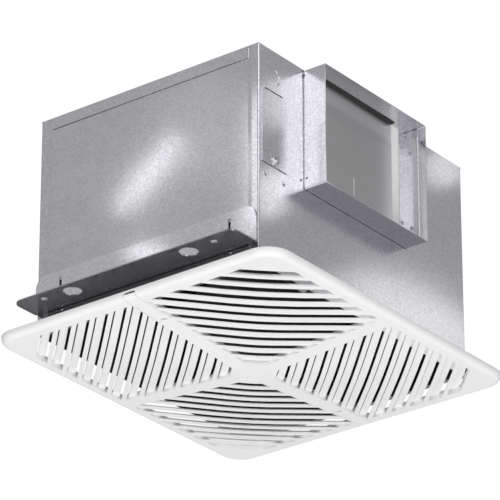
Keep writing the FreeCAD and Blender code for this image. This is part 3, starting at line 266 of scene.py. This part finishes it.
def new_group(name, inputs, outputs):
    group = bpy.data.node_groups.new(name, "ShaderNodeTree")
    for socket_name, kind, value in inputs:
        socket = group.interface.new_socket(socket_name, in_out="INPUT", socket_type=kind)
        if value is not None:
            socket.default_value = value
    for socket_name, kind in outputs:
        group.interface.new_socket(socket_name, in_out="OUTPUT", socket_type=kind)
    start = group.nodes.new("NodeGroupInput")
    end = group.nodes.new("NodeGroupOutput")
    return group, start, end


spangle, start, end = new_group(
    "zinc spangle",
    [("Place", VECTOR, None), ("Crystals per metre", FLOAT, 420.0), ("Crystal contrast", FLOAT, 0.12),
     ("Cloud contrast", FLOAT, 0.10), ("Speckle contrast", FLOAT, 1.0)],
    [("Shade", FLOAT), ("Crystal", FLOAT)],
)
cells = connect(spangle, "ShaderNodeTexVoronoi",
                {"Vector": start.outputs["Place"], "Scale": start.outputs["Crystals per metre"]})
crystal = connect(spangle, "ShaderNodeSeparateColor", {"Color": cells.outputs["Color"]})
clouds = connect(spangle, "ShaderNodeTexNoise",
                 {"Vector": start.outputs["Place"], "Scale": 22.0, "Detail": 4.0, "Roughness": 0.62})
speckle = connect(spangle, "ShaderNodeTexNoise",
                  {"Vector": start.outputs["Place"], "Scale": 620.0, "Detail": 2.0, "Roughness": 0.7})
shade_sum = None
for texture, contrast in ((crystal.outputs["Red"], "Crystal contrast"),
                          (clouds.outputs["Fac"], "Cloud contrast"),
                          (speckle.outputs["Fac"], "Speckle contrast")):
    centred = connect(spangle, "ShaderNodeMath", {0: texture, 1: 0.5}, operation="SUBTRACT")
    swing = connect(spangle, "ShaderNodeMath",
                    {0: centred.outputs[0], 1: start.outputs[contrast], 2: shade_sum or 0.5},
                    operation="MULTIPLY_ADD")
    shade_sum = swing.outputs[0]
spangle.links.new(shade_sum, end.inputs["Shade"])
spangle.links.new(crystal.outputs["Green"], end.inputs["Crystal"])
print("group", spangle.name, "ready")

# %% [markdown]
# ## Painted shade and sheen by height
# Two sheets get painted light at a known height: the hanging bracket's flange is painted darker than its
# upright leg, a painted shade, and its leg a little lighter, a painted sheen; the damper gets a painted
# reflection, a lighter strip under its seal. Two materials on one piece would need a cut mesh, so the tone is
# scaled by height instead. Both metals use this, so it is a second node group.
# A fade has four numbers: the two heights that it runs between, and the scale of the tone below and above.

# %% Painted light by height node group
fade, start, end = new_group(
    "painted light by height",
    [("Place", VECTOR, None), ("Low", FLOAT, 0.0), ("High", FLOAT, 1.0), ("Below", FLOAT, 1.0),
     ("Above", FLOAT, 1.0)],
    [("Factor", FLOAT)],
)
level = connect(fade, "ShaderNodeSeparateXYZ", {"Vector": start.outputs["Place"]})
blend = connect(fade, "ShaderNodeMapRange",
                {"Value": level.outputs["Z"],
                 "From Min": start.outputs["Low"], "From Max": start.outputs["High"],
                 "To Min": start.outputs["Below"], "To Max": start.outputs["Above"]},
                interpolation_type="SMOOTHSTEP")
fade.links.new(blend.outputs["Result"], end.inputs["Factor"])


# Scales a colour by height; every use paints shade, sheen or reflection into it.
def paint_light_by_height(tree, place, colour, low, high, below, above):
    factor = connect(tree, "ShaderNodeGroup", node_tree=fade)
    tree.links.new(place, factor.inputs["Place"])
    for name, value in (("Low", low), ("High", high), ("Below", below), ("Above", above)):
        factor.inputs[name].default_value = value
    scaled = connect(tree, "ShaderNodeVectorMath", {0: colour, "Scale": factor.outputs["Factor"]},
                     operation="SCALE")
    return scaled.outputs["Vector"]


print("group", fade.name, "ready")

# %% [markdown]
# ## Galvanised sheet
# The sheets are metal with a satin zinc skin. The shade runs between two greys with a trace of violet,
# the roughness wanders from crystal to crystal, and a shallow bump tilts the crystals a little,
# which breaks up the mirror images without hiding them. The wiring cover is a little greyer, which is
# painted shade, and the angles beside the damper share its zinc. Plated screws and rivets have much finer
# crystals and more gloss.

# %% Zinc finishes
CRYSTAL_CONTRAST = 0.36
CLOUD_CONTRAST = 0.4
SPECKLE_CONTRAST = 1.9
CRYSTAL_TILT = 0.008
CRYSTAL_DEPTH = 0.0004
# Painted shade and sheen: the bracket's colour is scaled to 0.66 on its flange and 1.09 on its leg.
PAINTED_FLANGE_SHADE_AND_LEG_SHEEN = (0.0266, 0.0285, 0.66, 1.09)


def two_tone(tree, factor, dark, light):
    mix = connect(tree, "ShaderNodeMix", {"Factor": factor}, data_type="RGBA")
    mix.inputs[6].default_value = dark
    mix.inputs[7].default_value = light
    return mix.outputs[2]


def zinc_finish(name, dark, light, rough_low, rough_high, crystals=420.0, painted_light_levels=None):
    material, tree, shader = new_material(name)
    place = connect(tree, "ShaderNodeTexCoord").outputs["Object"]
    grain = connect(tree, "ShaderNodeGroup", node_tree=spangle)
    tree.links.new(place, grain.inputs["Place"])
    for socket_name, value in (("Crystals per metre", crystals), ("Crystal contrast", CRYSTAL_CONTRAST),
                               ("Cloud contrast", CLOUD_CONTRAST), ("Speckle contrast", SPECKLE_CONTRAST)):
        grain.inputs[socket_name].default_value = value
    colour = two_tone(tree, grain.outputs["Shade"], dark, light)
    if painted_light_levels:
        colour = paint_light_by_height(tree, place, colour, *painted_light_levels)
    tree.links.new(colour, shader.inputs["Base Color"])
    rough = connect(tree, "ShaderNodeMapRange",
                    {"Value": grain.outputs["Crystal"], "To Min": rough_low, "To Max": rough_high})
    tree.links.new(rough.outputs["Result"], shader.inputs["Roughness"])
    bump = connect(tree, "ShaderNodeBump",
                   {"Height": grain.outputs["Crystal"], "Strength": CRYSTAL_TILT, "Distance": CRYSTAL_DEPTH})
    tree.links.new(bump.outputs["Normal"], shader.inputs["Normal"])
    shader.inputs["Metallic"].default_value = 1.0
    return material


galvanised = zinc_finish("galvanised sheet", (0.54, 0.535, 0.565, 1.0), (0.78, 0.775, 0.805, 1.0),
                         0.19, 0.24)
# The bracket's zinc is a little lighter than the sheet's, a painted sheen, and its fade paints shade on the
# flange.
bracket_zinc_painted_light = zinc_finish("bracket zinc with painted shade and sheen", (0.56, 0.555, 0.585, 1.0), (0.80, 0.795, 0.825, 1.0),
                           0.19, 0.24, painted_light_levels=PAINTED_FLANGE_SHADE_AND_LEG_SHEEN)
# Painted shade: the wiring cover's zinc is greyer than the sheet's; the angles beside the damper share it.
cover_zinc_painted_shade = zinc_finish("cover zinc with painted shade", (0.50, 0.495, 0.525, 1.0), (0.72, 0.715, 0.745, 1.0), 0.19, 0.24)
hardware_zinc = zinc_finish("plated hardware", (0.40, 0.40, 0.41, 1.0), (0.74, 0.74, 0.75, 1.0),
                            0.12, 0.24, crystals=1800.0)
print("zinc finishes ready")

# %% [markdown]
# ## Damper
# The damper is a smooth mill-finish aluminium plate, darker than the zinc around it and with no crystals.
# Rolling leaves faint lines along the sheet, made here with a noise stretched along one axis.
# The height fade paints a lighter strip under the seal, a painted reflection. The same finish in other tones
# serves the motor's bronze bearings and its core of thin steel sheets.

# %% Rolled metals
ROLLING_STRETCH = (1.0, 14.0, 900.0)
# Painted reflection: the damper's colour is lighter in a strip under its seal.
PAINTED_REFLECTION_UNDER_SEAL = (0.243, 0.257, 1.0, 1.45)


def rolled_metal(name, dark, light, rough_low, rough_high, painted_light_levels=None):
    material, tree, shader = new_material(name)
    place = connect(tree, "ShaderNodeTexCoord").outputs["Object"]
    stretch = connect(tree, "ShaderNodeMapping", {"Vector": place, "Scale": ROLLING_STRETCH})
    lines = connect(tree, "ShaderNodeTexNoise",
                    {"Vector": stretch.outputs["Vector"], "Scale": 1.0, "Detail": 3.0})
    colour = two_tone(tree, lines.outputs["Fac"], dark, light)
    if painted_light_levels:
        colour = paint_light_by_height(tree, place, colour, *painted_light_levels)
    tree.links.new(colour, shader.inputs["Base Color"])
    rough = connect(tree, "ShaderNodeMapRange",
                    {"Value": lines.outputs["Fac"], "To Min": rough_low, "To Max": rough_high})
    tree.links.new(rough.outputs["Result"], shader.inputs["Roughness"])
    shader.inputs["Metallic"].default_value = 1.0
    return material


damper_aluminium = rolled_metal("rolled aluminium", (0.48, 0.48, 0.48, 1.0), (0.60, 0.60, 0.60, 1.0),
                                0.30, 0.38, painted_light_levels=PAINTED_REFLECTION_UNDER_SEAL)
bronze = rolled_metal("sintered bronze", (0.46, 0.30, 0.14, 1.0), (0.58, 0.40, 0.20, 1.0), 0.35, 0.50)
core_steel = rolled_metal("core laminations", (0.16, 0.16, 0.165, 1.0), (0.28, 0.28, 0.285, 1.0), 0.40, 0.55)
print("rolled metals ready")

# %% [markdown]
# ## Plastics, paint, foam and rubber
# Moulded plastic has a very fine orange-peel skin and a slight unevenness of colour.
# One helper makes all of these finishes, because they differ only in colour, gloss and grain:
# the seal's foam has a finer and deeper skin and little gloss, the paint on the motor a wider peel.

# %% Moulded finishes
PEEL_STRENGTH = 0.25
ROUGHNESS_SWING = 0.05


def moulded_finish(name, dark, light, roughness, grains=900.0, grain_depth=0.00004):
    material, tree, shader = new_material(name)
    place = connect(tree, "ShaderNodeTexCoord").outputs["Object"]
    tone = connect(tree, "ShaderNodeTexNoise", {"Vector": place, "Scale": 14.0, "Detail": 3.0})
    tree.links.new(two_tone(tree, tone.outputs["Fac"], dark, light), shader.inputs["Base Color"])
    peel = connect(tree, "ShaderNodeTexNoise", {"Vector": place, "Scale": grains, "Detail": 2.0})
    rough = connect(tree, "ShaderNodeMapRange", {"Value": peel.outputs["Fac"],
                                                 "To Min": roughness - ROUGHNESS_SWING,
                                                 "To Max": roughness + ROUGHNESS_SWING})
    tree.links.new(rough.outputs["Result"], shader.inputs["Roughness"])
    bump = connect(tree, "ShaderNodeBump",
                   {"Height": peel.outputs["Fac"], "Strength": PEEL_STRENGTH, "Distance": grain_depth})
    tree.links.new(bump.outputs["Normal"], shader.inputs["Normal"])
    return material


white_plastic = moulded_finish("white moulded plastic", (0.92, 0.92, 0.915, 1.0), (0.95, 0.95, 0.945, 1.0),
                               0.42)
white_foam = moulded_finish("white seal foam", (0.93, 0.93, 0.92, 1.0), (0.97, 0.97, 0.96, 1.0), 0.80,
                            grains=1400.0, grain_depth=0.0002)
nylon = moulded_finish("natural nylon", (0.74, 0.72, 0.66, 1.0), (0.82, 0.80, 0.74, 1.0), 0.45)
black_plastic = moulded_finish("black plastic", (0.016, 0.016, 0.016, 1.0), (0.028, 0.028, 0.028, 1.0), 0.40)
grey_plastic = moulded_finish("grey wheel plastic", (0.17, 0.17, 0.175, 1.0), (0.24, 0.24, 0.245, 1.0), 0.48)
motor_paint = moulded_finish("black motor paint", (0.018, 0.018, 0.020, 1.0), (0.032, 0.032, 0.034, 1.0),
                             0.36, grains=500.0)
ground_green = moulded_finish("green ground paint", (0.02, 0.17, 0.05, 1.0), (0.03, 0.22, 0.07, 1.0), 0.34)
rubber = moulded_finish("black rubber", (0.012, 0.012, 0.012, 1.0), (0.022, 0.022, 0.022, 1.0), 0.65)
lead_jacket = moulded_finish("lead jacket", (0.020, 0.020, 0.021, 1.0), (0.034, 0.034, 0.035, 1.0), 0.50)
print("moulded finishes ready")

# %% [markdown]
# ## Dressing the nodes
# The record already says which material slot each node belongs to, so one finish per slot dresses almost
# all of them. A few nodes differ from the rest of their slot. The blower's sheets, the motor's bracket and
# the wiring box get black paint as painted shade, which keeps dark what shows behind the grille's slots.

# %% Give every node its finish
FINISH_OF_SLOT = {
    "galvanised_steel": galvanised, "zinc_hardware": hardware_zinc, "damper_aluminium": damper_aluminium,
    "nylon": nylon, "ground_green": ground_green, "black_plastic": black_plastic,
    "grey_plastic": grey_plastic, "motor_paint": motor_paint, "bearing_bronze": bronze,
    "core_steel": core_steel, "black_rubber": rubber, "lead_jacket": lead_jacket,
    "white_plastic": white_plastic,
}
FINISH_OF_NODE = {
    "damper_side_angles": cover_zinc_painted_shade, "damper_side_seals": white_foam, "damper_bushes": black_plastic,
    "wiring_cover": cover_zinc_painted_shade, "mounting_bracket_front": bracket_zinc_painted_light,
    "mounting_bracket_rear": bracket_zinc_painted_light,
}
# Painted shade: these inner nodes are painted black to darken what shows behind the grille's slots.
for painted_shade_node in ("scroll_wrap", "scroll_side_front", "scroll_side_rear", "inlet_ring_front",
                   "inlet_ring_rear", "motor_bracket", "wiring_box"):
    FINISH_OF_NODE[painted_shade_node] = motor_paint
for part in frame["record"]["subparts"]:
    finish = FINISH_OF_NODE.get(part["node"], FINISH_OF_SLOT[part["material_slot"]])
    for material_slot in NODES[part["node"]].material_slots:
        material_slot.material = finish
